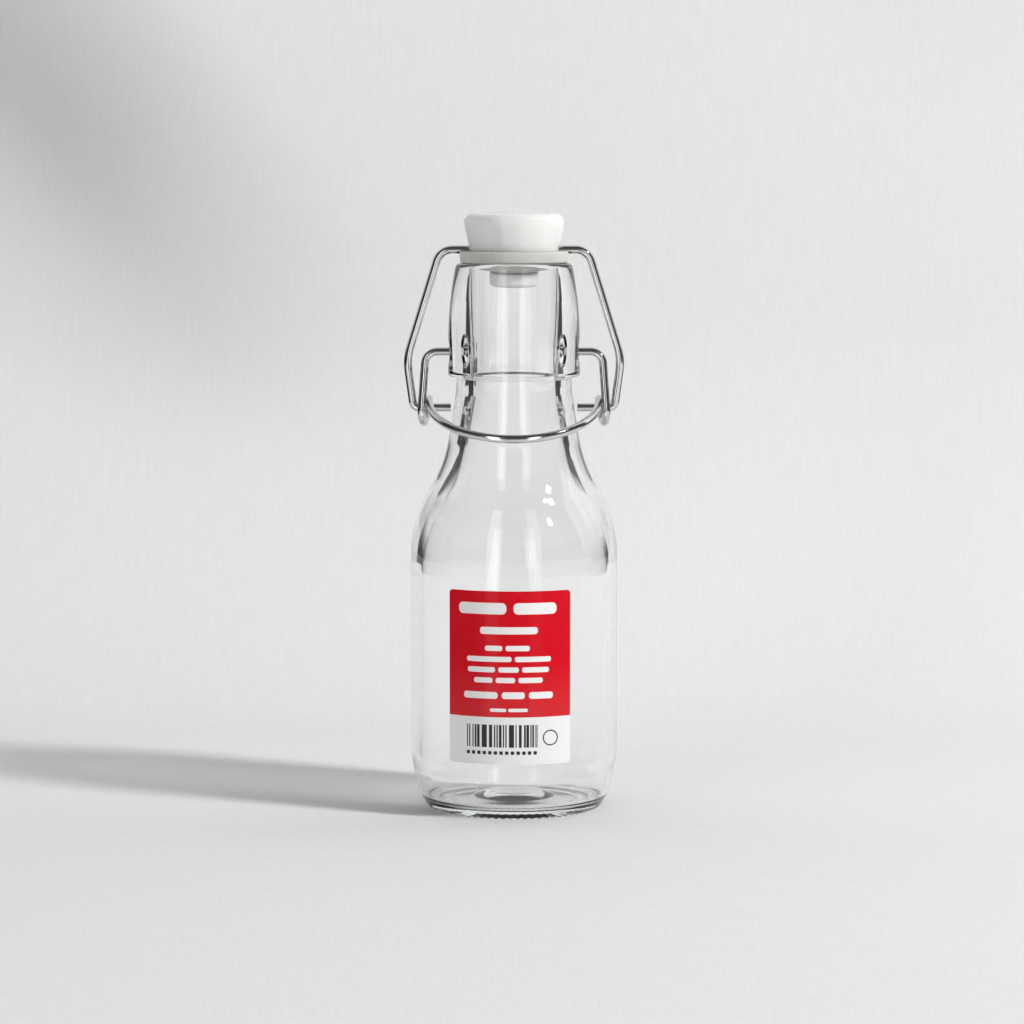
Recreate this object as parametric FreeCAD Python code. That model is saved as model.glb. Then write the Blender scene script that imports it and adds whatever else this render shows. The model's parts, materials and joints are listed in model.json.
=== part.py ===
import FreeCAD, Part
import math
import os

# A small empty swing-top bottle for oil or vinegar, shut by its wire closure.
# Millimetres, +Z up. The origin is the centre of the base, on the bottle's axis.
# The label and the lever's loop face -Y, and the wires' pivots lie along X.

V = FreeCAD.Vector

# ---- driving dimensions: glass -------------------------------------------------
BODY_RADIUS = 25.0          # the straight body wall
BODY_BOTTOM = 12.6
BAND_RADIUS = 24.25         # the slightly narrower band above the heel
BAND_TOP = 8.6
HEEL_RADIUS = 23.45         # where the heel turns in more steeply
HEEL_Z = 3.9
BEARING_OUTER = 21.1        # the ring that the bottle stands on
BEARING_INNER = 18.2
PUSH_UP = 1.2               # height of the hollow under the base
PUSH_UP_FLAT = 10.0         # radius of the flat middle of that hollow
PUSH_UP_ROUND = 20.0
SHOULDER_Z = 69.4           # where the body wall's line meets the shoulder's slope
SHOULDER_ANGLE = 32.0       # slope of the shoulder, from the vertical
SHOULDER_RUN = 15.6         # length of that slope, corner to corner
SHOULDER_ROUND = 31.0
THROAT_ROUND = 33.0
NECK_RADIUS = 13.9
NECK_ANGLE = 9.0            # the long neck's slope, from the vertical
FINISH_RADIUS = 15.9        # the thick ring that holds the lever's pivots
FINISH_BOTTOM = 104.1
FINISH_TAPER_Z = 119.7      # where the ring starts to narrow towards the lip
FINISH_TAPER = 9.6
LIP_Z = 131.3
LIP_ROUND = 1.5
MOUTH_RADIUS = 10.35
MOUTH_BOTTOM = 122.0        # where the mouth starts to narrow to the bore
BORE_RADIUS = 9.9
BORE_TOP = 108.5
INNER_NECK_ANGLE = 10.0
INNER_SHOULDER_ANGLE = 33.0
INNER_SHOULDER_RUN = 16.06
INNER_SHOULDER_Z = 65.9
WALL_INNER_TOP = 22.2
WALL_INNER_BOTTOM = 22.75
INNER_HEEL_Z = 9.0          # where the inside starts to narrow to the floor
FLOOR_RADIUS = 21.6
FLOOR_Z = 2.5               # inside of the base
RISE_FOOT = 9.7             # the low rise in the middle of the floor
RISE_TOP = 6.5
RISE_HEIGHT = 1.2
PIVOT_Z = 110.0
DIMPLE_RADIUS = 3.6
DIMPLE_DEPTH = 2.0
SEAT_DEPTH = 1.2            # the small blind hole at the bottom of each dimple

# ---- driving dimensions: closure -----------------------------------------------
WIRE_RADIUS = 1.0
PIN_CLEARANCE = 0.08        # radial play of a wire in a drilled or moulded hole
CROSS_WIRE_Z = 134.42       # the bail's top wire, through the stopper
PIN_BEND_X = 21.2           # where the lever's pin turns down into its leg
PIN_BEND = 3.0
PIN_END_PLAY = 0.2
COIL_Z = 95.8               # the middle of the lever's eyelet, a full turn of wire
COIL_RADIUS = 2.8           # to the middle of the wire
COIL_BEND = 0.97            # bend radius at the corners of the coil, to its radius
COIL_PITCH = 2.1
LEG_X = 22.35               # the lever's leg, where it runs into the coil
LOOP_TILT = 22.0            # how far the lever's front loop slopes down
LOOP_REACH = 0.7            # how far the loop runs before it starts to turn
EYELET_Z = 96.55            # the bail's hooks, high in the lever's eyelets
HOOK_END = 15.2
HOOK_X = 24.16
BAIL_KNEE = (25.75, 108.3)
BAIL_TOP_X = 17.7

STOPPER_TOP = 143.1
STOPPER_RADIUS = 11.95
STOPPER_FLARE_Z = 140.2     # below this the stopper narrows to its base
STOPPER_BASE = 10.35
GASKET_RADIUS = 13.05
GASKET_TOP = 134.1
GASKET_RIM_INNER = 10.7
GASKET_PLUG = 9.9           # the part that reaches into the mouth
GASKET_CONE = (9.2, 129.2)
NOTCH_PLAY = 0.12
NOTCH_INNER = 10.4
SEAT_Z = 133.0              # the stopper's base, sunk in the gasket's rim
STEM_RADIUS = 4.5
KNOB_RADIUS = 6.0
KNOB_TOP = 127.9
KNOB_BOTTOM = 124.8
SEAL_GAP = 0.04             # between the gasket and the lip

# ---- driving dimensions: label -------------------------------------------------
LABEL_THICKNESS = 0.15
LABEL_LEFT, LABEL_RIGHT = -37.0, 31.6     # degrees round the body from the front
LABEL_BOTTOM, LABEL_TOP = 13.95, 55.1
LABEL_CORNER = 0.9


def unit(vector):
    return vector.multiply(1.0 / vector.Length)


def rounded_edges(corners, closed=False):
    """Straight runs and tangent arcs through corners given as (point, radius)."""
    points = [point for point, _ in corners]
    count = len(points)
    entries, leaves, arcs = [], [], []
    for index, (point, radius) in enumerate(corners):
        at_end = not closed and index in (0, count - 1)
        if radius <= 0 or at_end:
            entries.append(point)
            leaves.append(point)
            arcs.append(None)
            continue
        back = unit(points[index - 1] - point)
        ahead = unit(points[(index + 1) % count] - point)
        half_turn = (math.pi - back.getAngle(ahead)) / 2
        reach = radius * math.tan(half_turn)
        start, end = point + back * reach, point + ahead * reach
        middle = point + unit(back + ahead) * (radius / math.cos(half_turn) - radius)
        entries.append(start)
        leaves.append(end)
        arcs.append(Part.Arc(start, middle, end).toShape())
    edges = []
    for index in range(count):
        if arcs[index]:
            edges.append(arcs[index])
        following = (index + 1) % count
        if not closed and following == 0:
            break
        if (entries[following] - leaves[index]).Length > 1e-6:
            edges.append(Part.LineSegment(leaves[index], entries[following]).toShape())
    return edges


def turned(outline):
    """A solid of revolution about Z from (radius, height, rounding) corners."""
    corners = [(V(radius, 0, height), rounding) for radius, height, rounding in outline]
    face = Part.Face(Part.Wire(rounded_edges(corners, closed=True)))
    return face.revolve(V(0, 0, 0), V(0, 0, 1), 360)


def bar_along_x(radius, x_from, x_to, height):
    return Part.makeCylinder(radius, x_to - x_from, V(x_from, 0, height), V(1, 0, 0))


def bent_wire(corners):
    """A round wire: a cylinder for each straight run and a piece of torus for each bend."""
    pieces = []
    for edge in rounded_edges(corners):
        start = edge.valueAt(edge.FirstParameter)
        heading = edge.tangentAt(edge.FirstParameter)
        if isinstance(edge.Curve, Part.Line):
            pieces.append(Part.makeCylinder(WIRE_RADIUS, edge.Length, start, heading))
            continue
        disc = Part.Face(Part.Wire(Part.makeCircle(WIRE_RADIUS, start, heading)))
        sweep = math.degrees(edge.LastParameter - edge.FirstParameter)
        pieces.append(disc.revolve(edge.Curve.Center, edge.Curve.Axis, sweep))
    wire = pieces[0].multiFuse(pieces[1:])
    return wire.Solids[0]


# ---- glass ---------------------------------------------------------------------

def glass_outer():
    """Corners of the outside, from the bearing ring up to the lip."""
    slope = math.radians(SHOULDER_ANGLE)
    throat_r = BODY_RADIUS - SHOULDER_RUN * math.sin(slope)
    throat_z = SHOULDER_Z + SHOULDER_RUN * math.cos(slope)
    neck_z = throat_z + (throat_r - NECK_RADIUS) / math.tan(math.radians(NECK_ANGLE))
    lip_r = FINISH_RADIUS - (LIP_Z - FINISH_TAPER_Z) * math.tan(math.radians(FINISH_TAPER))
    return [
        (BEARING_INNER, 0, 0.8),
        (BEARING_OUTER, 0, 0.8),
        (HEEL_RADIUS, HEEL_Z, 6),
        (BAND_RADIUS, BAND_TOP, 8),
        (BODY_RADIUS, BODY_BOTTOM, 8),
        (BODY_RADIUS, SHOULDER_Z, SHOULDER_ROUND),
        (throat_r, throat_z, THROAT_ROUND),
        (NECK_RADIUS, neck_z, 15),
        (NECK_RADIUS, FINISH_BOTTOM, 0.5),
        (FINISH_RADIUS, FINISH_BOTTOM, 0.8),
        (FINISH_RADIUS, FINISH_TAPER_Z, 100),
        (lip_r, LIP_Z, LIP_ROUND),
    ]


def glass_inner():
    """Corners of the inside, from the mouth down to the middle of the floor."""
    slope = math.radians(INNER_SHOULDER_ANGLE)
    throat_r = WALL_INNER_TOP - INNER_SHOULDER_RUN * math.sin(slope)
    throat_z = INNER_SHOULDER_Z + INNER_SHOULDER_RUN * math.cos(slope)
    bore_z = throat_z + (throat_r - BORE_RADIUS) / math.tan(math.radians(INNER_NECK_ANGLE))
    return [
        (MOUTH_RADIUS, LIP_Z, 0.8),
        (MOUTH_RADIUS, MOUTH_BOTTOM, 20),
        (BORE_RADIUS, BORE_TOP, 20),
        (BORE_RADIUS, bore_z, 20),
        (throat_r, throat_z, 36),
        (WALL_INNER_TOP, INNER_SHOULDER_Z, 29.5),
        (WALL_INNER_BOTTOM, INNER_HEEL_Z, 8),
        (FLOOR_RADIUS, FLOOR_Z, 2),
        (RISE_FOOT, FLOOR_Z, 1.5),
        (RISE_TOP, FLOOR_Z + RISE_HEIGHT, 1.5),
        (0, FLOOR_Z + RISE_HEIGHT, 0),
    ]


def make_glass():
    underside = [(0, PUSH_UP, 0), (PUSH_UP_FLAT, PUSH_UP, PUSH_UP_ROUND)]
    glass = turned(underside + glass_outer() + glass_inner())
    ball_radius = (DIMPLE_RADIUS ** 2 + DIMPLE_DEPTH ** 2) / (2 * DIMPLE_DEPTH)
    dimple_floor = FINISH_RADIUS - DIMPLE_DEPTH
    seat_end = dimple_floor - SEAT_DEPTH
    for side in (-1, 1):
        ball = Part.makeSphere(ball_radius, V(side * (dimple_floor + ball_radius), 0, PIVOT_Z))
        seat = Part.makeCylinder(WIRE_RADIUS + PIN_CLEARANCE, 2 * SEAT_DEPTH,
                                 V(side * seat_end, 0, PIVOT_Z), V(side, 0, 0))
        glass = glass.cut(ball).cut(seat)
    return glass


# ---- label ---------------------------------------------------------------------

def make_label():
    height = LABEL_TOP - LABEL_BOTTOM
    base = V(0, 0, LABEL_BOTTOM)
    sweep = LABEL_RIGHT - LABEL_LEFT
    outer = Part.makeCylinder(BODY_RADIUS + LABEL_THICKNESS, height, base, V(0, 0, 1), sweep)
    inner = Part.makeCylinder(BODY_RADIUS, height, base, V(0, 0, 1), sweep)
    skin = outer.cut(inner)
    skin.rotate(V(0, 0, 0), V(0, 0, 1), LABEL_LEFT - 90)
    corners = [edge for edge in skin.Edges if abs(edge.Length - LABEL_THICKNESS) < 1e-4]
    return skin.makeFillet(LABEL_CORNER, corners)


# ---- stopper and gasket --------------------------------------------------------

def make_stopper():
    stopper = turned([
        (0, KNOB_BOTTOM, 0),
        (KNOB_RADIUS, KNOB_BOTTOM, 1.2),
        (KNOB_RADIUS, KNOB_TOP, 0.3),
        (STEM_RADIUS, KNOB_TOP, 0),
        (STEM_RADIUS, SEAT_Z, 0),
        (STOPPER_BASE, SEAT_Z, 0.2),
        (STOPPER_RADIUS, STOPPER_FLARE_Z, 8),
        (STOPPER_RADIUS, STOPPER_TOP, 2.0),
        (0, STOPPER_TOP, 0),
    ])
    hole = bar_along_x(WIRE_RADIUS + PIN_CLEARANCE, -GASKET_RADIUS, GASKET_RADIUS, CROSS_WIRE_Z)
    return stopper.cut(hole)


def make_gasket():
    underside = LIP_Z + SEAL_GAP
    gasket = turned([
        (STEM_RADIUS, KNOB_TOP, 0),
        GASKET_CONE + (0.4,),
        (GASKET_PLUG, underside, 0),
        (GASKET_RADIUS - 0.1, underside, 0.5),
        (GASKET_RADIUS, GASKET_TOP, 0.4),
        (GASKET_RIM_INNER, GASKET_TOP, 0),
        (GASKET_RIM_INNER, SEAT_Z, 0),
        (STEM_RADIUS, SEAT_Z, 0),
    ])
    # The cross wire lies sunk in the rim, in a notch on either side.
    notch = bar_along_x(WIRE_RADIUS + NOTCH_PLAY, -GASKET_RADIUS, GASKET_RADIUS, CROSS_WIRE_Z)
    stem_side = Part.makeCylinder(NOTCH_INNER, STOPPER_TOP, V(0, 0, 0))
    return gasket.cut(notch.cut(stem_side))


# ---- wires ---------------------------------------------------------------------

def both_sides(half):
    """The whole run of a wire from its left half, mirrored in X for the right."""
    mirrored = [(V(-point.x, point.y, point.z), radius) for point, radius in reversed(half)]
    return half + mirrored


def coil_corners():
    """Corners round the eyelet, from the leg's tangent point to the start of the loop."""
    # The angle is 0 at the front of the coil, 90 under it, 180 behind it and 270 on top.
    start = -math.asin(COIL_RADIUS / (PIVOT_Z - COIL_Z))
    end = math.radians(270 + LOOP_TILT)
    count = 7
    step = (end - start) / count
    corner_radius = COIL_RADIUS / math.cos(step / 2)
    corners = []
    for index in range(count):
        angle = start + step * (index + 0.5)
        x = LEG_X - COIL_PITCH * (index + 0.5) / count
        y = -corner_radius * math.cos(angle)
        z = COIL_Z - corner_radius * math.sin(angle)
        corners.append((V(-x, y, z), COIL_BEND * COIL_RADIUS))
    return corners


def make_lever():
    seat_end = FINISH_RADIUS - DIMPLE_DEPTH - SEAT_DEPTH
    loop_x = LEG_X - COIL_PITCH
    tilt = math.radians(LOOP_TILT)
    exit_y = -COIL_RADIUS * math.sin(tilt)
    exit_z = COIL_Z + COIL_RADIUS * math.cos(tilt)
    run = loop_x + LOOP_REACH
    front = V(-loop_x, exit_y - run * math.cos(tilt), exit_z - run * math.sin(tilt))
    half = [
        (V(-seat_end - PIN_END_PLAY, 0, PIVOT_Z), 0),
        (V(-PIN_BEND_X, 0, PIVOT_Z), PIN_BEND),
    ]
    half += coil_corners()
    half.append((front, loop_x))
    return bent_wire(both_sides(half))


def make_bail():
    half = [
        (V(-HOOK_END, 0, EYELET_Z), 0),
        (V(-HOOK_X, 0, EYELET_Z), 1.5),
        (V(-BAIL_KNEE[0], 0, BAIL_KNEE[1]), 15),
        (V(-BAIL_TOP_X, 0, CROSS_WIRE_Z), 4.0),
    ]
    return bent_wire(both_sides(half))


NODES = {
    "bottle_glass": make_glass,
    "front_label": make_label,
    "stopper": make_stopper,
    "gasket": make_gasket,
    "lever_wire": make_lever,
    "bail_wire": make_bail,
}

os.makedirs("parts", exist_ok=True)
for name, make in NODES.items():
    shape = make()
    shape.exportStep("parts/%s.step" % name)
    print("%-13s solids %d  valid %s  %.2f cm3" % (name, len(shape.Solids), shape.isValid(),
                                                  shape.Volume / 1000))
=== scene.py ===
# %% [markdown]
# # A small swing-top glass bottle
#
# The object is an empty glass bottle for oil or vinegar, 143 mm tall, shut by a sprung wire
# closure. It has six pieces: the glass, a paper label, a white stopper, a soft gasket, and two
# bent steel wires. Each piece is drawn the way its maker would think of it. What is round is an
# outline turned about the bottle's axis, and what is wire is a line with round bends that is
# given a thickness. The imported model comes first, because it says where everything is.

# %% Load the fixed frame
import json
import math
import random

import bmesh
import bpy
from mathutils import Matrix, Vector


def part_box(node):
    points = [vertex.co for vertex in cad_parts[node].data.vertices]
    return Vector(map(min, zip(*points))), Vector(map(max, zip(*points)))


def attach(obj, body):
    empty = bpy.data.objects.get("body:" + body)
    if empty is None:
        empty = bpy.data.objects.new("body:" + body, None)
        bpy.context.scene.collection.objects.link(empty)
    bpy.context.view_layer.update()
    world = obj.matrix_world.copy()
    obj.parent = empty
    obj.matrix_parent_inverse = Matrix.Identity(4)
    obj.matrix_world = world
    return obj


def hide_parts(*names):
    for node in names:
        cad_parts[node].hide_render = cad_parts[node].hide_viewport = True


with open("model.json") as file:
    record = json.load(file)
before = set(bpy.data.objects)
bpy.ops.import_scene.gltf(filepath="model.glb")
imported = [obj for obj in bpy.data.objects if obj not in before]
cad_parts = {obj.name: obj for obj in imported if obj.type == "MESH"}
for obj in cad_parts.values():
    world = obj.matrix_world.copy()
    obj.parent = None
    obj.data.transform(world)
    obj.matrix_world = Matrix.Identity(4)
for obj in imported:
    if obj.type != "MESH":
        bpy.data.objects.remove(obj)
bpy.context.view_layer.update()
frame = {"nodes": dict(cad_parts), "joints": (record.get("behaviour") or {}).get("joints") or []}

MM = 0.001
for name in sorted(frame["nodes"]):
    low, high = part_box(name)
    size = [round((b - a) / MM, 2) for a, b in zip(low, high)]
    print(f"{name:13s} {size} mm, from z {low.z / MM:.2f} mm")

# %% [markdown]
# ## The view
#
# A small product is best seen with a long lens from a little above. The lens keeps the bottle's
# sides upright, and the height shows the round of the base and the inside of its floor. The
# camera stands just left of the axis, so the bottle sits a hair to the right of the middle.

# %% Place the camera
CAMERA_BACK, CAMERA_UP, CAMERA_LEFT = 0.816, 0.157, 0.00048
CAMERA_PITCH = math.radians(6)
LENS = 119.5

bpy.ops.object.camera_add(location=(-CAMERA_LEFT, -CAMERA_BACK, CAMERA_UP),
                          rotation=(math.pi / 2 - CAMERA_PITCH, 0, 0))
camera = bpy.context.object
camera.name = "product_camera"
camera.data.lens = LENS
camera.data.clip_start, camera.data.clip_end = 0.01, 20
bpy.context.scene.camera = camera
bpy.context.scene.view_settings.view_transform = "Standard"
print("camera at", [round(c, 3) for c in camera.location])

# %% [markdown]
# ## Colours and finishes
#
# Every finish starts from the Principled shader. A value that is the same all over is set on the
# shader's own socket. What changes over the surface is drawn by nodes that read the piece's own
# Object coordinates, which stay on the piece when it moves. Two small helpers keep the node
# trees short: one adds a node and sets its inputs, and one does a sum.

# %% Helpers for materials


def new_material(name, **values):
    """A material whose Principled shader has these values, as (material, shader)."""
    material = bpy.data.materials.new(name)
    material.use_nodes = True
    shader = material.node_tree.nodes["Principled BSDF"]
    for socket, value in values.items():
        shader.inputs[socket.replace("_", " ")].default_value = value
    return material, shader


def add_node(tree, kind, inputs=(), **settings):
    """Add a node, set its settings, and fill its inputs with numbers or other nodes' sockets."""
    node = tree.nodes.new("ShaderNode" + kind)
    for setting, value in settings.items():
        setattr(node, setting, value)
    for socket, value in dict(inputs).items():
        if isinstance(value, bpy.types.NodeSocket):
            tree.links.new(value, node.inputs[socket])
        else:
            node.inputs[socket].default_value = value
    return node


def calc(tree, operation, *values):
    """The result of one Math node on numbers or sockets."""
    return add_node(tree, "Math", enumerate(values), operation=operation).outputs[0]


def object_place(tree):
    """The piece's own coordinates, in metres."""
    return add_node(tree, "TexCoord").outputs["Object"]


def noise(tree, place, scale, detail=3.0, roughness=0.5):
    """Soft random values about 0.5 that vary `scale` times a metre."""
    inputs = {"Vector": place, "Scale": scale, "Detail": detail, "Roughness": roughness}
    return add_node(tree, "TexNoise", inputs).outputs["Fac"]


def spread(tree, value, low, high):
    """Stretch the middle of a noise to run from low to high."""
    inputs = {"Value": value, "From Min": 0.3, "From Max": 0.7, "To Min": low, "To Max": high}
    return add_node(tree, "MapRange", inputs).outputs["Result"]


def bump(tree, height, distance, strength=1.0):
    """A normal that lets light see relief of this depth, in metres."""
    inputs = {"Height": height, "Distance": distance, "Strength": strength}
    return add_node(tree, "Bump", inputs).outputs["Normal"]


def mix_colours(tree, share, first, second):
    """A colour that runs from first to second as share runs from 0 to 1."""
    node = add_node(tree, "Mix", data_type="RGBA")
    for socket, value in ((0, share), (6, first), (7, second)):
        if isinstance(value, bpy.types.NodeSocket):
            tree.links.new(value, node.inputs[socket])
        else:
            node.inputs[socket].default_value = value
    return node.outputs[2]


# %% [markdown]
# ## Drawing with straight runs and round bends
#
# Nearly every form here is a line first. Its corners are given as a point and the radius of the
# bend there. The line is drawn as by hand: one vertex is extruded along each straight run, and
# the Spin tool carries it round each bend. Spin makes a true arc, where a bevelled corner only
# comes close to one. All corners are in millimetres and are turned into metres as they are drawn.

# %% Helpers for drawing lines


def only(piece):
    """Make this object the only selected one and the active one."""
    bpy.ops.object.select_all(action="DESELECT")
    piece.select_set(True)
    bpy.context.view_layer.objects.active = piece


def start_line(name, place):
    """A new object whose mesh is one selected vertex, left in edit mode."""
    bpy.ops.object.select_all(action="DESELECT")
    bpy.ops.mesh.primitive_plane_add(size=MM)
    piece = bpy.context.object
    piece.name = piece.data.name = name
    bpy.ops.object.mode_set(mode="EDIT")
    bpy.ops.mesh.select_mode(type="VERT")
    bpy.ops.mesh.merge(type="CENTER")
    bpy.ops.transform.translate(value=place)
    return piece


def draw_line(name, corners, chord=0.6, arc_step=6.0):
    """Draw straight runs and arcs through (point, radius) corners, all in millimetres."""
    points = [Vector(point) * MM for point, _ in corners]
    piece = start_line(name, points[0])
    here = points[0]
    for index in range(1, len(points)):
        corner, radius = points[index], corners[index][1] * MM
        bends = radius > 0 and index < len(points) - 1
        target = corner
        if bends:
            back = (points[index - 1] - corner).normalized()
            ahead = (points[index + 1] - corner).normalized()
            turn = math.pi - back.angle(ahead)
            target = corner + back * radius * math.tan(turn / 2)
        if (target - here).length > 1e-7:
            bpy.ops.mesh.extrude_vertices_move(TRANSFORM_OT_translate={"value": target - here})
        here = target
        if bends:
            centre = corner + (back + ahead).normalized() * radius / math.cos(turn / 2)
            steps = max(turn / math.radians(arc_step), turn * radius / (chord * MM))
            bpy.ops.mesh.spin(steps=math.ceil(steps), angle=turn, center=centre,
                              axis=back.cross(ahead))
            here = corner + ahead * radius * math.tan(turn / 2)
    return piece


def turn_about_axis(piece, steps):
    """Spin the outline all the way round the bottle's axis and close its seam and poles."""
    bpy.ops.mesh.select_all(action="SELECT")
    bpy.ops.mesh.spin(steps=steps, angle=2 * math.pi, center=(0, 0, 0), axis=(0, 0, 1))
    bpy.ops.mesh.select_all(action="SELECT")
    bpy.ops.mesh.remove_doubles(threshold=0.002 * MM)
    bpy.ops.mesh.normals_make_consistent(inside=False)
    bpy.ops.object.mode_set(mode="OBJECT")


def outline(corners):
    """Turn (radius, height, rounding) corners into points in the plane y = 0."""
    return [((radius, 0, height), rounding) for radius, height, rounding in corners]


def pick(piece, test, kind="VERT"):
    """In edit mode, select only the vertices, edges or faces that pass the test."""
    bpy.ops.mesh.select_mode(type=kind)
    bpy.ops.mesh.select_all(action="DESELECT")
    mesh = bmesh.from_edit_mesh(piece.data)
    elements = {"VERT": mesh.verts, "EDGE": mesh.edges, "FACE": mesh.faces}[kind]
    chosen = [element for element in elements if test(element)]
    for element in chosen:
        element.select_set(True)
    mesh.select_flush_mode()
    bmesh.update_edit_mesh(piece.data)
    return len(chosen)


def cut_away(piece, tool):
    """Take the tool's volume out of the piece with an exact boolean, and drop the tool."""
    only(piece)
    modifier = piece.modifiers.new("cut", "BOOLEAN")
    modifier.operation, modifier.solver, modifier.object = "DIFFERENCE", "EXACT", tool
    bpy.ops.object.modifier_apply(modifier=modifier.name)
    bpy.data.objects.remove(tool)


def finish_piece(piece, body, node, materials, smooth_angle=35):
    """Shade the piece, give it its finishes, and let it ride in place of its CAD node."""
    only(piece)
    bpy.ops.object.shade_smooth_by_angle(angle=math.radians(smooth_angle))
    for material in materials:
        piece.data.materials.append(material)
    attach(piece, body)
    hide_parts(node)
    triangles = sum(len(face.vertices) - 2 for face in piece.data.polygons)
    print(f"{piece.name}: {triangles} triangles")


# %% [markdown]
# ## The glass
#
# Such a bottle is pressed and blown in an iron mould, so its outside is exact and its inside is
# a little uneven. Both are one outline: it starts on the axis under the base, goes round the
# heel, up the body, shoulder and neck, over the lip, and down the inside to the axis again.
# Turned about the axis, it gives a wall with a real thickness, which is what makes glass look
# like glass, because light bends at all four surfaces on its way through.

# %% Measure the glass and list its corners
glass_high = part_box("bottle_glass")[1]
LIP_Z = glass_high.z / MM
BODY_RADIUS = round(glass_high.x / MM, 1)
FINISH_RADIUS, NECK_RADIUS = 15.9, 13.9
FINISH_BOTTOM, FINISH_TAPER_Z, FINISH_TAPER = 104.1, 119.7, math.radians(9.6)
MOUTH_RADIUS, MOUTH_BOTTOM, BORE_RADIUS, BORE_TOP = 10.35, 122, 9.9, 108.5
PUSH_UP, PUSH_UP_FLAT, BEARING_INNER, BEARING_OUTER = 1.2, 10, 18.2, 21.1
HEEL_RADIUS, HEEL_Z, BAND_RADIUS, BAND_TOP, BODY_BOTTOM = 23.45, 3.9, 24.25, 8.6, 12.6
SHOULDER_Z, SHOULDER_RUN = 69.4, 15.6
SHOULDER_ANGLE, NECK_ANGLE = math.radians(32), math.radians(9)
INNER_SHOULDER_Z, INNER_SHOULDER_RUN = 65.9, 16.06
INNER_SHOULDER_ANGLE, INNER_NECK_ANGLE = math.radians(33), math.radians(10)
WALL_TOP, WALL_BOTTOM, INNER_HEEL_Z = 22.2, 22.75, 9
FLOOR_RADIUS, FLOOR_Z, RISE_FOOT, RISE_TOP, RISE_HEIGHT = 21.6, 2.5, 9.7, 6.5, 1.2
PIVOT_Z = frame["joints"][0]["pos_m"][2] / MM


def after_slope(radius, height, run, angle):
    """The upper end of a slope that leaves (radius, height) inwards, at this angle from upright."""
    return radius - run * math.sin(angle), height + run * math.cos(angle)


throat_r, throat_z = after_slope(BODY_RADIUS, SHOULDER_Z, SHOULDER_RUN, SHOULDER_ANGLE)
neck_z = throat_z + (throat_r - NECK_RADIUS) / math.tan(NECK_ANGLE)
lip_r = FINISH_RADIUS - (LIP_Z - FINISH_TAPER_Z) * math.tan(FINISH_TAPER)
inner_r, inner_z = after_slope(WALL_TOP, INNER_SHOULDER_Z, INNER_SHOULDER_RUN, INNER_SHOULDER_ANGLE)
bore_z = inner_z + (inner_r - BORE_RADIUS) / math.tan(INNER_NECK_ANGLE)

# Radius, height and rounding of each corner
GLASS_OUTLINE = [
    (0, PUSH_UP, 0), (PUSH_UP_FLAT, PUSH_UP, 20),
    (BEARING_INNER, 0, 0.8), (BEARING_OUTER, 0, 0.8), (HEEL_RADIUS, HEEL_Z, 6),
    (BAND_RADIUS, BAND_TOP, 8), (BODY_RADIUS, BODY_BOTTOM, 8),
    (BODY_RADIUS, SHOULDER_Z, 31), (throat_r, throat_z, 33),
    (NECK_RADIUS, neck_z, 15), (NECK_RADIUS, FINISH_BOTTOM, 0.5),
    (FINISH_RADIUS, FINISH_BOTTOM, 0.8), (FINISH_RADIUS, PIVOT_Z, 0),
    (FINISH_RADIUS, FINISH_TAPER_Z, 100), (lip_r, LIP_Z, 1.5),
    (MOUTH_RADIUS, LIP_Z, 0.8), (MOUTH_RADIUS, MOUTH_BOTTOM, 20),
    (BORE_RADIUS, BORE_TOP, 20), (BORE_RADIUS, bore_z, 20),
    (inner_r, inner_z, 36), (WALL_TOP, INNER_SHOULDER_Z, 29.5),
    (WALL_BOTTOM, INNER_HEEL_Z, 8), (FLOOR_RADIUS, FLOOR_Z, 2), (RISE_FOOT, FLOOR_Z, 1.5),
    (RISE_TOP, FLOOR_Z + RISE_HEIGHT, 1.5), (0, FLOOR_Z + RISE_HEIGHT, 0),
]
print(f"lip at {LIP_Z:.1f} mm, body radius {BODY_RADIUS} mm, pivots at {PIVOT_Z} mm")

# %% [markdown]
# The thick ring round the neck gets extra rows of vertices where the dimples will be pressed in,
# because a dimple can only be as smooth as the mesh around it is fine.

# %% Draw the outline and turn it
GLASS_STEPS = 300
BAND_HALF_HEIGHT = 5.5
# Longest edge left whole, in millimetres, and the cuts made in a longer one
BAND_CUTS = ((1.5, 9), (0.4, 1))

glass = draw_line("glass_shell", outline(GLASS_OUTLINE))


def on_pivot_band(edge):
    """True for an edge of the outline on the outside of the ring, level with the dimples."""
    ends = [vertex.co / MM for vertex in edge.verts]
    return all(end.x > FINISH_RADIUS - 1 and abs(end.z - PIVOT_Z) < BAND_HALF_HEIGHT for end in ends)


for longest, cuts in BAND_CUTS:
    pick(glass, lambda edge: on_pivot_band(edge) and edge.calc_length() > longest * MM, "EDGE")
    bpy.ops.mesh.subdivide(number_cuts=cuts)
turn_about_axis(glass, GLASS_STEPS)
print("glass:", len(glass.data.vertices), "vertices")

# %% [markdown]
# A round dimple on each side of the ring holds the end of the lever wire. It is pressed in with
# proportional editing: one vertex is pushed towards the axis, and its neighbours follow along a
# quarter circle, which gives a cup with a clear rim. A small blind hole at the bottom of the cup
# then takes the wire's end. It is drilled with a cylinder and a boolean.

# %% Press the dimples and drill their seats
DIMPLE_RADIUS, DIMPLE_DEPTH, SEAT_RADIUS, SEAT_DEPTH = 3.6, 2.0, 1.08, 1.2

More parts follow.
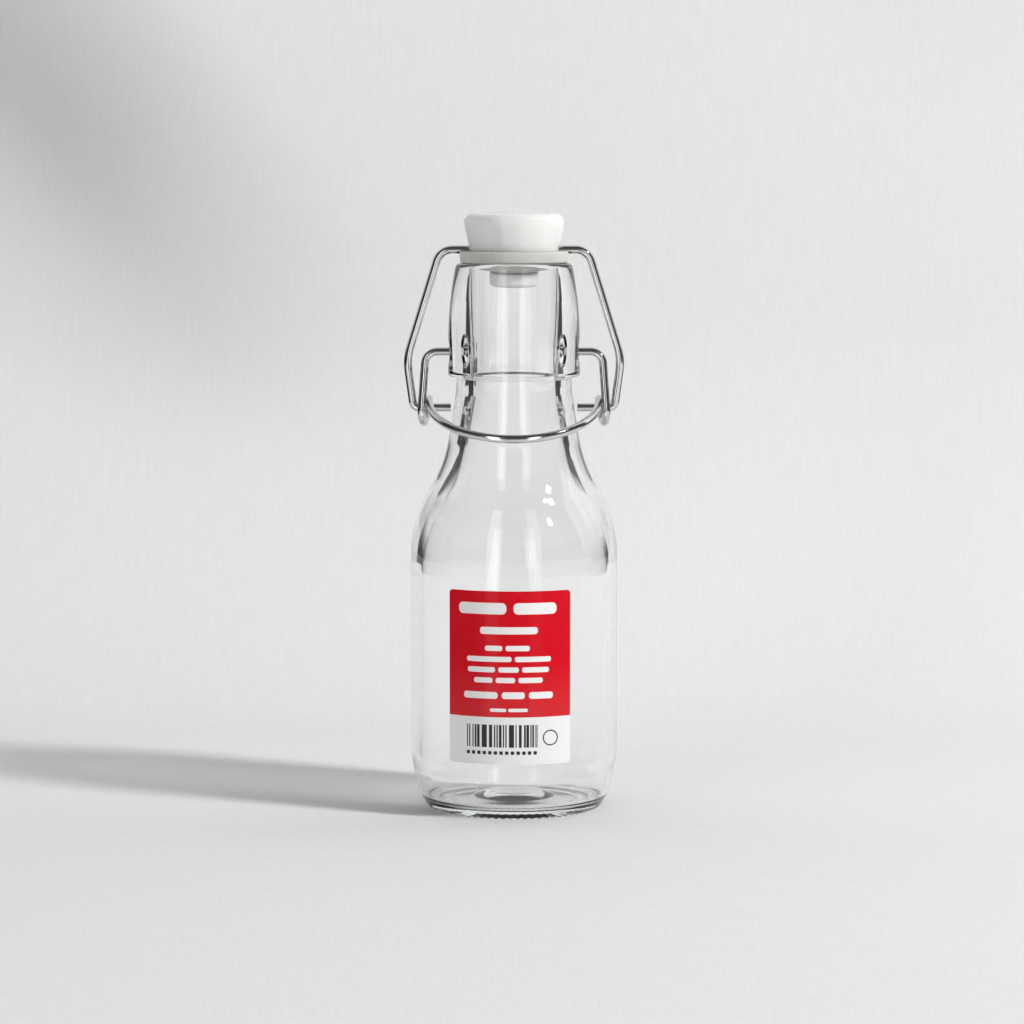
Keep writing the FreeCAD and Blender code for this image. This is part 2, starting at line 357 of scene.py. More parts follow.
for side in (-1, 1):
    only(glass)
    bpy.ops.object.mode_set(mode="EDIT")
    middle = Vector((side * FINISH_RADIUS, 0, PIVOT_Z)) * MM
    pick(glass, lambda vertex: (vertex.co - middle).length < 0.02 * MM)
    bpy.ops.transform.translate(value=(-side * DIMPLE_DEPTH * MM, 0, 0),
                                use_proportional_edit=True, proportional_edit_falloff="SPHERE",
                                proportional_size=DIMPLE_RADIUS * MM)
    bpy.ops.object.mode_set(mode="OBJECT")
    seat_x = side * (FINISH_RADIUS - DIMPLE_DEPTH) * MM
    bpy.ops.object.select_all(action="DESELECT")
    bpy.ops.mesh.primitive_cylinder_add(vertices=32, radius=SEAT_RADIUS * MM,
                                        depth=2 * SEAT_DEPTH * MM,
                                        location=(seat_x, 0, PIVOT_Z * MM),
                                        rotation=(0, math.pi / 2, 0))
    cut_away(glass, bpy.context.object)
print("two dimples,", DIMPLE_DEPTH, "mm deep")

# %% [markdown]
# The ring that the bottle stands on is knurled: short bars are cut into the mould so that the
# hot base keeps off the belt it cools on. Every second pair of faces on that ring is inset and
# pushed up by a fraction of a millimetre, so the bars in between stay on the floor.

# %% Knurl the bearing ring
KNURLS = GLASS_STEPS // 4
KNURL_INNER, KNURL_OUTER, KNURL_TOP = 18.7, 21.9, 1.2
KNURL_DEPTH, KNURL_SLOPE = 0.22, 0.08


def in_knurl_groove(face):
    """True for a face under the base that lies in one of the grooves."""
    middle = face.calc_center_median() / MM
    radius = math.hypot(middle.x, middle.y)
    turn = math.atan2(middle.y, middle.x) / (2 * math.pi) * KNURLS
    on_ring = KNURL_INNER < radius < KNURL_OUTER and middle.z < KNURL_TOP and face.normal.z < -0.3
    return on_ring and turn % 1 < 0.5


only(glass)
bpy.ops.object.mode_set(mode="EDIT")
grooved = pick(glass, in_knurl_groove, "FACE")
bpy.ops.mesh.inset(thickness=KNURL_SLOPE * MM, depth=0)
bpy.ops.transform.translate(value=(0, 0, KNURL_DEPTH * MM))
bpy.ops.object.mode_set(mode="OBJECT")
print(KNURLS, "grooves,", grooved, "faces")

# %% [markdown]
# The inside of a blown wall is never as true as the outside, since no mould touches it. A very
# shallow displacement by a cloud texture, held to the inside by a vertex group, makes the wall
# uneven by about a tenth of a millimetre, and bends what is seen through it a little.

# %% Make the inside of the wall uneven
WALL_WANDER = 0.25 * MM
# Millimetres left true next to the lip and the floor, and over which the wander then sets in
TRUE_AT_LIP, EASE_AT_LIP, TRUE_AT_FLOOR, EASE_AT_FLOOR = 6, 12, 2, 10
FLOOR_MIDDLE = 8


def clamp(value):
    """The value, held between 0 and 1."""
    return min(max(value, 0), 1)


inside = glass.vertex_groups.new(name="inside_wall")
for vertex in glass.data.vertices:
    radius, height = math.hypot(vertex.co.x, vertex.co.y) / MM, vertex.co.z / MM
    from_lip = clamp((LIP_Z - TRUE_AT_LIP - height) / EASE_AT_LIP)
    from_floor = clamp((height - FLOOR_Z - TRUE_AT_FLOOR) / EASE_AT_FLOOR)
    faces_in = vertex.normal.x * vertex.co.x + vertex.normal.y * vertex.co.y < 0
    if faces_in and radius > FLOOR_MIDDLE:
        inside.add([vertex.index], min(from_lip, from_floor), "REPLACE")

clouds = bpy.data.textures.new("wall_wander", "CLOUDS")
clouds.noise_scale, clouds.noise_depth = 0.022, 1
wander = glass.modifiers.new("wander", "DISPLACE")
wander.texture, wander.texture_coords = clouds, "LOCAL"
wander.vertex_group, wander.strength, wander.mid_level = inside.name, WALL_WANDER, 0.5
only(glass)
bpy.ops.object.modifier_apply(modifier=wander.name)
print("inside wall uneven by up to", WALL_WANDER / 2 / MM, "mm")

# %% [markdown]
# Bottle glass is almost colourless, with a trace of green that shows where light runs a long way
# inside it, as along the edge of the wall. The colour sits in the volume for that reason. Lamps
# would be stopped by a solid glass shader and the bottle would throw the shadow of a stone, so
# for shadow rays only it is swapped for a see-through one, which is darker where light meets the
# wall at a slant, as in the bright and dark bands of a real bottle's shadow. Close to the floor
# and in the neck it is almost clear, because there a real bottle's bent light fills the shade.

# %% Make the glass finish
# Where the shade thins out: the height it starts and ends at in millimetres, and what it ends as
CLEAR_FOOT, CLEAR_NECK = (15, 5, 0.965), (72, 92, 0.93)

clear_glass, shader = new_material("clear_glass", Base_Color=(1, 1, 1, 1), Roughness=0.0,
                                   IOR=1.5, Transmission_Weight=1.0)
tree = clear_glass.node_tree
place = object_place(tree)
ripple = bump(tree, noise(tree, place, 90, 2.0), 0.02 * MM)
tree.links.new(ripple, shader.inputs["Normal"])

facing = add_node(tree, "LayerWeight", {"Blend": 0.35}).outputs["Facing"]
shade = mix_colours(tree, facing, (0.70, 0.71, 0.705, 1), (0.26, 0.27, 0.265, 1))
height = add_node(tree, "SeparateXYZ", {0: place}).outputs["Z"]
for start, end, clear in (CLEAR_FOOT, CLEAR_NECK):
    share = add_node(tree, "MapRange", {"Value": height, "From Min": start * MM,
                                        "From Max": end * MM})
    shade = mix_colours(tree, share.outputs["Result"], shade, (clear, clear, clear, 1))
see_through = add_node(tree, "BsdfTransparent", {"Color": shade}).outputs[0]
for_lamps = add_node(tree, "LightPath").outputs["Is Shadow Ray"]
surface = add_node(tree, "MixShader", {0: for_lamps, 1: shader.outputs[0], 2: see_through})
output = tree.nodes["Material Output"]
tree.links.new(surface.outputs[0], output.inputs["Surface"])
body_colour = add_node(tree, "VolumeAbsorption", {"Color": (0.74, 0.93, 0.86, 1), "Density": 3.5})
tree.links.new(body_colour.outputs[0], output.inputs["Volume"])

finish_piece(glass, "bottle", "bottle_glass", [clear_glass])

# %% [markdown]
# ## The label
#
# The label is a rectangle of coated paper with small round corners, stuck on the front of the
# body. It is made as the real one is: cut flat, and then wrapped. A plane gets its corners
# bevelled and is cut into narrow columns, Solidify gives it the paper's thickness, and the bend
# of a Simple Deform wraps it to the body's radius. The back goes a trace into the glass, because
# a glued label has no air behind it, and that is why its back shows so plainly through a bottle.

# %% Cut the label flat and wrap it
label_low, label_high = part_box("front_label")
LABEL_LEFT = math.atan2(label_low.x, math.sqrt(BODY_RADIUS ** 2 * MM ** 2 - label_low.x ** 2))
LABEL_RIGHT = math.atan2(label_high.x, math.sqrt(BODY_RADIUS ** 2 * MM ** 2 - label_high.x ** 2))
LABEL_BOTTOM, LABEL_TOP = label_low.z / MM, label_high.z / MM
LABEL_SINK, LABEL_PROUD, LABEL_CORNER = 0.03, 0.15, 0.9
LABEL_COLUMNS = 60

bend_radius = BODY_RADIUS - LABEL_SINK
half_width = bend_radius * (LABEL_RIGHT - LABEL_LEFT) / 2
shift = bend_radius * (LABEL_RIGHT + LABEL_LEFT) / 2
half_height = (LABEL_TOP - LABEL_BOTTOM) / 2
middle_z = (LABEL_TOP + LABEL_BOTTOM) / 2
bpy.ops.object.select_all(action="DESELECT")
bpy.ops.mesh.primitive_plane_add(size=2 * MM)
label = bpy.context.object
label.name = label.data.name = "paper_label"
bpy.ops.object.mode_set(mode="EDIT")
bpy.ops.mesh.select_all(action="SELECT")
bpy.ops.transform.resize(value=(half_width, half_height, 1))
bpy.ops.mesh.bevel(offset=LABEL_CORNER * MM, segments=6, affect="VERTICES")
bpy.ops.mesh.select_all(action="SELECT")
bpy.ops.transform.rotate(value=-math.pi / 2, orient_axis="X", center_override=(0, 0, 0))
bpy.ops.transform.translate(value=(shift * MM, 0, middle_z * MM))
for column in range(1, LABEL_COLUMNS):
    cut_x = (shift - half_width + 2 * half_width * column / LABEL_COLUMNS) * MM
    bpy.ops.mesh.select_all(action="SELECT")
    bpy.ops.mesh.bisect(plane_co=(cut_x, 0, 0), plane_no=(1, 0, 0))
bpy.ops.object.mode_set(mode="OBJECT")
facing_out = sum(face.normal.y for face in label.data.polygons) < 0
print("label:", round(2 * half_width, 2), "by", round(2 * half_height, 2), "mm")

thicken = label.modifiers.new("thicken", "SOLIDIFY")
thicken.thickness, thicken.offset = (LABEL_SINK + LABEL_PROUD) * MM, 1.0 if facing_out else -1.0
wrap = label.modifiers.new("wrap", "SIMPLE_DEFORM")
wrap.deform_method, wrap.deform_axis = "BEND", "Z"
wrap.angle = LABEL_RIGHT - LABEL_LEFT
only(label)
bpy.ops.object.modifier_apply(modifier=thicken.name)
bpy.ops.object.modifier_apply(modifier=wrap.name)
bpy.ops.object.mode_set(mode="EDIT")
bpy.ops.mesh.select_all(action="SELECT")
bpy.ops.transform.translate(value=(0, -bend_radius * MM, 0))
bpy.ops.mesh.normals_make_consistent(inside=False)
bpy.ops.object.mode_set(mode="OBJECT")
radii = [math.hypot(v.co.x, v.co.y) / MM for v in label.data.vertices]
print("label from radius", round(min(radii), 3), "to", round(max(radii), 3), "mm")

# %% [markdown]
# The print is plain shapes: a red field over a white strip, bars where lines of words would be,
# and a block of thin upright stripes. Each bar is a rounded rectangle, found by its distance to
# the nearest edge, and one node group holds that sum so that it can be used again for every bar.
# The coordinates are unrolled first: the angle round the body times its radius gives the place
# along the paper, and the height is the place up it.

# %% Make the rounded bar as a node group


def make_bar_group():
    """A node group: 1 inside a rounded rectangle and 0 outside, with a soft printed edge."""
    group = bpy.data.node_groups.new("rounded_bar", "ShaderNodeTree")
    for name in ("Along", "Up", "Middle Along", "Middle Up", "Half Width", "Half Height", "Round"):
        group.interface.new_socket(name, in_out="INPUT", socket_type="NodeSocketFloat")
    group.interface.new_socket("Mask", in_out="OUTPUT", socket_type="NodeSocketFloat")
    start = group.nodes.new("NodeGroupInput").outputs
    beyond = []
    for place, middle, half in (("Along", "Middle Along", "Half Width"),
                                ("Up", "Middle Up", "Half Height")):
        distance = calc(group, "ABSOLUTE", calc(group, "SUBTRACT", start[place], start[middle]))
        straight = calc(group, "SUBTRACT", start[half], start["Round"])
        past = calc(group, "MAXIMUM", calc(group, "SUBTRACT", distance, straight), 0.0)
        beyond.append(calc(group, "POWER", past, 2.0))
    from_core = calc(group, "SQRT", calc(group, "ADD", *beyond))
    outside = calc(group, "SUBTRACT", from_core, start["Round"])
    edge = add_node(group, "MapRange", {"Value": outside, "From Min": -0.05, "From Max": 0.05,
                                        "To Min": 1.0, "To Max": 0.0})
    end = group.nodes.new("NodeGroupOutput")
    group.links.new(edge.outputs["Result"], end.inputs["Mask"])
    return group


BAR_GROUP = make_bar_group()
print("bar group:", len(BAR_GROUP.nodes), "nodes")

# %% [markdown]
# The bars are laid out line by line. Each line has a height, a thickness, a width and a number
# of words, and the words' lengths are drawn at random from a seeded generator, so that the lines
# look set by hand and come out the same each time. The red is a little paler and pinker towards
# the foot of its field.

# %% Print the label
RED_FROM, PALE_RED_FROM, PRINT_EDGE = 25.2, 38.0, 0.05
# Middle height, bar thickness, left end, right end, number of words
PRINT_LINES = [
    (51.0, 2.7, -12.3, 11.4, 2),
    (45.8, 1.7, -6.9, 6.8, 1),
    (41.6, 1.25, -5.7, 4.9, 2),
    (39.0, 1.25, -10.2, 10.0, 2),
    (36.5, 1.25, -10.0, 9.5, 3),
    (34.0, 1.25, -8.4, 8.0, 3),
    (30.4, 1.6, -11.0, 10.5, 3),
    (26.9, 0.8, -4.5, 4.4, 2),
]
BAR_ROUNDING = 0.81
STRIPES, STRIPES_A_MM, STRIPE_SHARE = (-10.5, 6.8, 18.0, 23.4), 1.7, 0.48
DASHES, DASH_START, DASH_STEP, DASH_Z, DASH_HALF = 13, 0.6, 1.34, 16.7, 0.42
RING_PLACE, RING_RADIUS, RING_LINE = (9.9, 20.2), 1.75, 0.3


def word_bars(lines, seed=7):
    """The bars for lines of words, as (middle along, middle up, half width, half height)."""
    draw = random.Random(seed)
    bars = []
    for height, thick, left, right, words in lines:
        gap = 0.62 * thick
        shares = [draw.uniform(0.7, 1.3) for _ in range(words)]
        free = right - left - gap * (words - 1)
        start = left
        for share in shares:
            length = free * share / sum(shares)
            bars.append((start + length / 2, height, length / 2, thick / 2))
            start += length + gap
    return bars


def bar_mask(tree, along, up, bar, rounding):
    """The mask of one rounded bar."""
    node = tree.nodes.new("ShaderNodeGroup")
    node.node_tree = BAR_GROUP
    tree.links.new(along, node.inputs["Along"])
    tree.links.new(up, node.inputs["Up"])
    for socket, value in zip(("Middle Along", "Middle Up", "Half Width", "Half Height"), bar):
        node.inputs[socket].default_value = value
    node.inputs["Round"].default_value = rounding
    return node.outputs["Mask"]


def highest(tree, masks):
    """One mask that is on wherever any of these is."""
    result = masks[0]
    for mask in masks[1:]:
        result = calc(tree, "MAXIMUM", result, mask)
    return result


label_print, shader = new_material("label_print", Roughness=0.4, Specular_IOR_Level=0.05,
                                   Coat_Weight=0.18, Coat_Roughness=0.12)
tree = label_print.node_tree
place = object_place(tree)
axes = add_node(tree, "SeparateXYZ", {0: place}).outputs
angle = calc(tree, "ARCTAN2", axes["X"], calc(tree, "MULTIPLY", axes["Y"], -1.0))
middle_angle = (LABEL_LEFT + LABEL_RIGHT) / 2
along = calc(tree, "MULTIPLY", calc(tree, "SUBTRACT", angle, middle_angle), BODY_RADIUS)
up = calc(tree, "MULTIPLY", axes["Z"], 1 / MM)

words = highest(tree, [bar_mask(tree, along, up, bar, BAR_ROUNDING * bar[3])
                       for bar in word_bars(PRINT_LINES)])
left, right, low, high = STRIPES
block = bar_mask(tree, along, up, ((left + right) / 2, (low + high) / 2, (right - left) / 2,
                                   (high - low) / 2), 0.1)
stripe_noise = add_node(tree, "TexNoise", {"W": along, "Scale": STRIPES_A_MM, "Detail": 0.0},
                        noise_dimensions="1D").outputs["Fac"]
stripes = calc(tree, "MULTIPLY", block, calc(tree, "GREATER_THAN", stripe_noise, STRIPE_SHARE))
dash_places = [left + DASH_START + DASH_STEP * step for step in range(DASHES)]
dashes = highest(tree, [bar_mask(tree, along, up, (dash_place, DASH_Z, DASH_HALF, DASH_HALF), 0.2)
                        for dash_place in dash_places])
across = calc(tree, "POWER", calc(tree, "SUBTRACT", along, RING_PLACE[0]), 2.0)
upward = calc(tree, "POWER", calc(tree, "SUBTRACT", up, RING_PLACE[1]), 2.0)
from_middle = calc(tree, "SQRT", calc(tree, "ADD", across, upward))
from_ring = calc(tree, "SUBTRACT", from_middle, RING_RADIUS)
ring = calc(tree, "LESS_THAN", calc(tree, "ABSOLUTE", from_ring), RING_LINE / 2)
dark_print = highest(tree, [stripes, dashes, ring])
red_field = add_node(tree, "MapRange", {"Value": up, "From Min": RED_FROM - PRINT_EDGE,
                                        "From Max": RED_FROM + PRINT_EDGE}).outputs["Result"]

ink_mottle = spread(tree, noise(tree, place, 900, 4.0), 0.0, 1.0)
red_ink = mix_colours(tree, ink_mottle, (0.62, 0.0003, 0.009, 1), (0.68, 0.0005, 0.011, 1))
# Towards the foot of the red field the red turns paler and pinker.
pale_red_share = add_node(tree, "MapRange", {"Value": up, "From Min": PALE_RED_FROM, "From Max": RED_FROM})
red_ink = mix_colours(tree, pale_red_share.outputs["Result"], red_ink, (0.64, 0.024, 0.032, 1))
white_paper = (0.84, 0.84, 0.83, 1)
lower = mix_colours(tree, dark_print, white_paper, (0.035, 0.035, 0.037, 1))
upper = mix_colours(tree, words, red_ink, (0.87, 0.86, 0.85, 1))
colour = mix_colours(tree, red_field, lower, upper)
tree.links.new(colour, shader.inputs["Base Color"])
fibre = noise(tree, place, 4200, 3.0)
tree.links.new(spread(tree, fibre, 0.33, 0.44), shader.inputs["Roughness"])
tree.links.new(bump(tree, fibre, 0.006 * MM), shader.inputs["Normal"])

label_back, shader = new_material("label_back", Base_Color=(0.80, 0.80, 0.79, 1), Roughness=0.7)
tree = label_back.node_tree
fibre = noise(tree, object_place(tree), 1500, 4.0)
tree.links.new(mix_colours(tree, spread(tree, fibre, 0, 1), (0.76, 0.76, 0.75, 1),
                           (0.84, 0.84, 0.83, 1)), shader.inputs["Base Color"])

finish_piece(label, "bottle", "front_label", [label_print, label_back])
for face in label.data.polygons:
    outward = face.normal.x * face.center.x + face.normal.y * face.center.y
    face.material_index = 1 if outward < -0.5 * face.center.xy.length else 0
print("label faces on the back:", sum(face.material_index for face in label.data.polygons))

# %% [markdown]
# ## The stopper
#
# The white stopper is one moulding: a cap that flares to a rounded top, a stem that goes down
# through the gasket, and a knob on the stem's end that keeps the gasket on. It is one outline,
# turned, with a hole across it for the wire.

# %% Turn the stopper and bore its cross hole
stopper_low, stopper_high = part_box("stopper")
CROSS_WIRE_Z = frame["joints"][2]["pos_m"][2] / MM
EYELET_Z = frame["joints"][1]["pos_m"][2] / MM
STOPPER_TOP, KNOB_BOTTOM = stopper_high.z / MM, stopper_low.z / MM
STOPPER_RADIUS, STOPPER_FOOT, FLARE_Z = 11.95, 10.35, 140.2
STEM_RADIUS, KNOB_RADIUS, KNOB_TOP, SEAT_Z = 4.5, 6.0, 127.9, 133.0
GASKET_RADIUS, WIRE_RADIUS, HOLE_PLAY, TURN_STEPS = 13.05, 1.0, 0.08, 144

STOPPER_OUTLINE = [
    (0, KNOB_BOTTOM, 0), (KNOB_RADIUS, KNOB_BOTTOM, 1.2),
    (KNOB_RADIUS, KNOB_TOP, 0.3), (STEM_RADIUS, KNOB_TOP, 0),
    (STEM_RADIUS, SEAT_Z, 0), (STOPPER_FOOT, SEAT_Z, 0.2),
    (STOPPER_RADIUS, FLARE_Z, 8), (STOPPER_RADIUS, STOPPER_TOP, 2.0),
    (0, STOPPER_TOP, 0),
]


def bar_across(radius, length, middle_x=0.0):
    """A round bar along X at the height of the cross wire, for cutting with."""
    bpy.ops.object.select_all(action="DESELECT")
    bpy.ops.mesh.primitive_cylinder_add(vertices=48, radius=radius * MM, depth=length * MM,
                                        location=(middle_x * MM, 0, CROSS_WIRE_Z * MM),
                                        rotation=(0, math.pi / 2, 0))
    return bpy.context.object


stopper = draw_line("white_stopper", outline(STOPPER_OUTLINE), chord=0.4)
turn_about_axis(stopper, TURN_STEPS)
cut_away(stopper, bar_across(WIRE_RADIUS + HOLE_PLAY, 2 * GASKET_RADIUS))

white_plastic, shader = new_material("white_plastic", Base_Color=(0.766, 0.766, 0.752, 1),
                                     Roughness=0.2, Subsurface_Weight=0.6,
                                     Subsurface_Scale=5 * MM, Subsurface_Radius=(1, 1, 1))
tree = white_plastic.node_tree
place = object_place(tree)
cloud = noise(tree, place, 160, 3.0)
tree.links.new(mix_colours(tree, spread(tree, cloud, 0, 1), (0.748, 0.748, 0.73, 1),
                           (0.774, 0.774, 0.766, 1)), shader.inputs["Base Color"])
tree.links.new(spread(tree, noise(tree, place, 1400, 4.0), 0.16, 0.24), shader.inputs["Roughness"])
tree.links.new(bump(tree, noise(tree, place, 2600, 3.0), 0.004 * MM), shader.inputs["Normal"])
finish_piece(stopper, "closure", "stopper", [white_plastic])

# %% [markdown]
# ## The gasket
#
# The soft ring under the stopper makes the seal. Its rim lies on the lip, a short cone below it
# centres it in the mouth, and a low edge above holds the stopper's foot. The wire lies a little
# lower than that edge, so the edge has a notch on each side. Its outline is a closed one, so the
# last corner is the first again, and merging doubles after the spin closes it.

# %% Turn the gasket and notch its rim
PLUG_RADIUS, PLUG_Z, CONE_RADIUS, SEAL_Z = 9.2, 129.2, 9.9, LIP_Z + 0.04
GASKET_TOP, GASKET_DRAFT, RIM_INNER = 134.1, 0.1, 10.7
NOTCH_INNER, NOTCH_PLAY = 10.4, 0.12

GASKET_OUTLINE = [
    (STEM_RADIUS, KNOB_TOP, 0), (PLUG_RADIUS, PLUG_Z, 0.4),
    (CONE_RADIUS, SEAL_Z, 0), (GASKET_RADIUS - GASKET_DRAFT, SEAL_Z, 0.5),
    (GASKET_RADIUS, GASKET_TOP, 0.4), (RIM_INNER, GASKET_TOP, 0),
    (RIM_INNER, SEAT_Z, 0), (STEM_RADIUS, SEAT_Z, 0),
    (STEM_RADIUS, KNOB_TOP, 0),
]

gasket = draw_line("soft_gasket", outline(GASKET_OUTLINE), chord=0.4)
turn_about_axis(gasket, TURN_STEPS)
for side in (-1, 1):
    length = GASKET_RADIUS + 1 - NOTCH_INNER
    cut_away(gasket, bar_across(WIRE_RADIUS + NOTCH_PLAY, length, side * (NOTCH_INNER + length / 2)))

silicone, shader = new_material("silicone", Base_Color=(0.55, 0.55, 0.517, 1), Roughness=0.45,
                                Subsurface_Weight=0.35, Subsurface_Scale=2.0 * MM,
                                Subsurface_Radius=(1, 1, 1))
tree = silicone.node_tree
place = object_place(tree)
tree.links.new(mix_colours(tree, spread(tree, noise(tree, place, 300, 3.0), 0, 1),
                           (0.525, 0.525, 0.492, 1), (0.566, 0.566, 0.538, 1)),
               shader.inputs["Base Color"])
tree.links.new(spread(tree, noise(tree, place, 1800, 4.0), 0.4, 0.55), shader.inputs["Roughness"])
tree.links.new(bump(tree, noise(tree, place, 3000, 3.0), 0.005 * MM), shader.inputs["Normal"])
finish_piece(gasket, "closure", "gasket", [silicone])

# %% [markdown]
# ## The two wires
#
# Both wires are round steel, 2 mm thick, bent on pins. A wire is drawn as its middle line, from
# the left end to the right, turned into a curve, given a round bevel, and turned back into a
# mesh. Only the left half is listed, and the right half is its mirror image.

# %% Helpers for wires


def both_sides(half):
    """The whole line from its left half, mirrored in X for the right."""
    return half + [((-x, y, z), radius) for (x, y, z), radius in reversed(half)]


def bend_wire(name, half):
    """A round wire along the line that these corners and their mirror image give."""
    wire = draw_line(name, both_sides(half), chord=0.8, arc_step=5.0)
    bpy.ops.object.mode_set(mode="OBJECT")
    length = sum((wire.data.vertices[a].co - wire.data.vertices[b].co).length
                 for a, b in (edge.vertices for edge in wire.data.edges))
    only(wire)
    bpy.ops.object.convert(target="CURVE")
    wire.data.dimensions = "3D"
    wire.data.bevel_depth, wire.data.bevel_resolution = WIRE_RADIUS * MM, 8
    wire.data.use_fill_caps = True
    bpy.ops.object.convert(target="MESH")
    bpy.ops.object.mode_set(mode="EDIT")
    bpy.ops.mesh.select_all(action="SELECT")
    bpy.ops.mesh.remove_doubles(threshold=0.002 * MM)
    bpy.ops.mesh.normals_make_consistent(inside=False)
    bpy.ops.object.mode_set(mode="OBJECT")
    print(f"{name}: {length / MM:.1f} mm of wire")
    return wire


# %% [markdown]
# The lever starts in a dimple, comes straight out of the glass, turns down, and winds once round
# into an eyelet that the upper wire hooks into. From the top of the eyelet it runs forwards and a
# little down, round the front of the neck in a half circle. That loop is what a thumb pulls up.
# The coil's corners lie on a polygon just outside it, so that each bend touches its sides.

# %% Bend the lever wire
COIL_Z, COIL_RADIUS, COIL_PITCH, COIL_CORNERS, COIL_BEND = 95.8, 2.8, 2.1, 7, 0.97
PIN_END_PLAY, PIN_BEND_X, PIN_BEND, LEG_X = 0.2, 21.2, 3.0, 22.35
LOOP_TILT, LOOP_REACH = math.radians(22), 0.7
SEAT_END = FINISH_RADIUS - DIMPLE_DEPTH - SEAT_DEPTH + PIN_END_PLAY


def coil_corners():
    """Corners round the eyelet, from where the leg meets it to where the loop leaves it."""
    start = -math.asin(COIL_RADIUS / (PIVOT_Z - COIL_Z))
    step = (math.radians(270) + LOOP_TILT - start) / COIL_CORNERS
    corner_radius = COIL_RADIUS / math.cos(step / 2)
    corners = []
    for index in range(COIL_CORNERS):
        angle = start + step * (index + 0.5)
        x = LEG_X - COIL_PITCH * (index + 0.5) / COIL_CORNERS
        place = (-x, -corner_radius * math.cos(angle), COIL_Z - corner_radius * math.sin(angle))
        corners.append((place, COIL_BEND * COIL_RADIUS))
    return corners


loop_x = LEG_X - COIL_PITCH
exit_y = -COIL_RADIUS * math.sin(LOOP_TILT)
exit_z = COIL_Z + COIL_RADIUS * math.cos(LOOP_TILT)
loop_run = loop_x + LOOP_REACH
loop_front = (-loop_x, exit_y - loop_run * math.cos(LOOP_TILT),
              exit_z - loop_run * math.sin(LOOP_TILT))
lever_half = [((-SEAT_END, 0, PIVOT_Z), 0), ((-PIN_BEND_X, 0, PIVOT_Z), PIN_BEND)]
lever_half += coil_corners()
lever_half.append((loop_front, loop_x))
lever = bend_wire("lever_loop", lever_half)

# %% [markdown]
# The bail goes from a hook in each eyelet, up outside the lever's leg, in over the shoulder of
# the ring, and through the stopper. It is sprung: closing the lever pulls it tight.

# %% Bend the bail wire
HOOK_END, HOOK_X, KNEE_X, KNEE_Z, BAIL_TOP_X = 15.2, 24.16, 25.75, 108.3, 17.7
BAIL_HALF = [
    ((-HOOK_END, 0, EYELET_Z), 0),
    ((-HOOK_X, 0, EYELET_Z), 1.5),
    ((-KNEE_X, 0, KNEE_Z), 15),
    ((-BAIL_TOP_X, 0, CROSS_WIRE_Z), 4.0),
]
bail = bend_wire("bail_bow", BAIL_HALF)

# %% [markdown]
# The wire is drawn through a die, which polishes it and leaves faint lines along it. At this
# size they only break up the reflections, so a noise changes the roughness slightly and a
# second, finer one gives a bump too small to see as a shape.

# %% Make the steel finish
steel_wire, shader = new_material("steel_wire", Base_Color=(0.63, 0.63, 0.625, 1), Metallic=1.0,
                                  Roughness=0.16)
tree = steel_wire.node_tree
place = object_place(tree)
tree.links.new(spread(tree, noise(tree, place, 900, 4.0), 0.10, 0.14), shader.inputs["Roughness"])
tarnish = spread(tree, noise(tree, place, 120, 3.0), 0.0, 1.0)
tree.links.new(mix_colours(tree, tarnish, (0.58, 0.58, 0.575, 1), (0.67, 0.67, 0.665, 1)),
               shader.inputs["Base Color"])
tree.links.new(bump(tree, noise(tree, place, 5200, 2.0), 0.0004 * MM), shader.inputs["Normal"])
finish_piece(lever, "lever", "lever_wire", [steel_wire])
finish_piece(bail, "bail", "bail_wire", [steel_wire])

# %% [markdown]
# ## The set
#
# Clear glass has no colour of its own to show. It shows what stands around it, so the set is
# part of its look. A pale floor runs up into a pale wall close behind the bottle, in one smooth
# sweep with no line. The sweep is drawn as a line with one large bend and pulled out sideways.
# Seen from behind, the wall lets the view through, so that the bottle can be looked at from there.

# %% Make the floor and wall
SWEEP_FRONT, SWEEP_WALL, SWEEP_BEND, SWEEP_HEIGHT, SWEEP_WIDTH = -2500, 215, 110, 1500, 4000

sweep = draw_line("pale_sweep", [((-SWEEP_WIDTH / 2, SWEEP_FRONT, 0), 0),
                                 ((-SWEEP_WIDTH / 2, SWEEP_WALL, 0), SWEEP_BEND),
                                 ((-SWEEP_WIDTH / 2, SWEEP_WALL, SWEEP_HEIGHT), 0)],
                  chord=20, arc_step=3)
bpy.ops.mesh.select_all(action="SELECT")
bpy.ops.mesh.extrude_region_move(TRANSFORM_OT_translate={"value": (SWEEP_WIDTH * MM, 0, 0)})
bpy.ops.object.mode_set(mode="OBJECT")
only(sweep)
bpy.ops.object.shade_smooth()
if sum(face.normal.z for face in sweep.data.polygons) < 0:
    sweep.data.flip_normals()

pale_cloth, shader = new_material("pale_cloth", Base_Color=(0.8, 0.8, 0.8, 1), Roughness=0.85,
                                  Specular_IOR_Level=0.0)
tree = pale_cloth.node_tree
threads = add_node(tree, "VectorMath", {0: object_place(tree), 1: (1.0, 0.08, 0.08)},
                   operation="MULTIPLY").outputs["Vector"]
weave = noise(tree, threads, 1500, 2.0)
tree.links.new(mix_colours(tree, spread(tree, weave, 0, 1), (0.785, 0.785, 0.785, 1),
                           (0.815, 0.815, 0.815, 1)), shader.inputs["Base Color"])
hidden_side = add_node(tree, "NewGeometry").outputs["Backfacing"]
nothing = add_node(tree, "BsdfTransparent").outputs[0]
surface = add_node(tree, "MixShader", {0: hidden_side, 1: shader.outputs[0], 2: nothing})
tree.links.new(surface.outputs[0], tree.nodes["Material Output"].inputs["Surface"])
sweep.data.materials.append(pale_cloth)
print("sweep:", len(sweep.data.polygons), "faces")

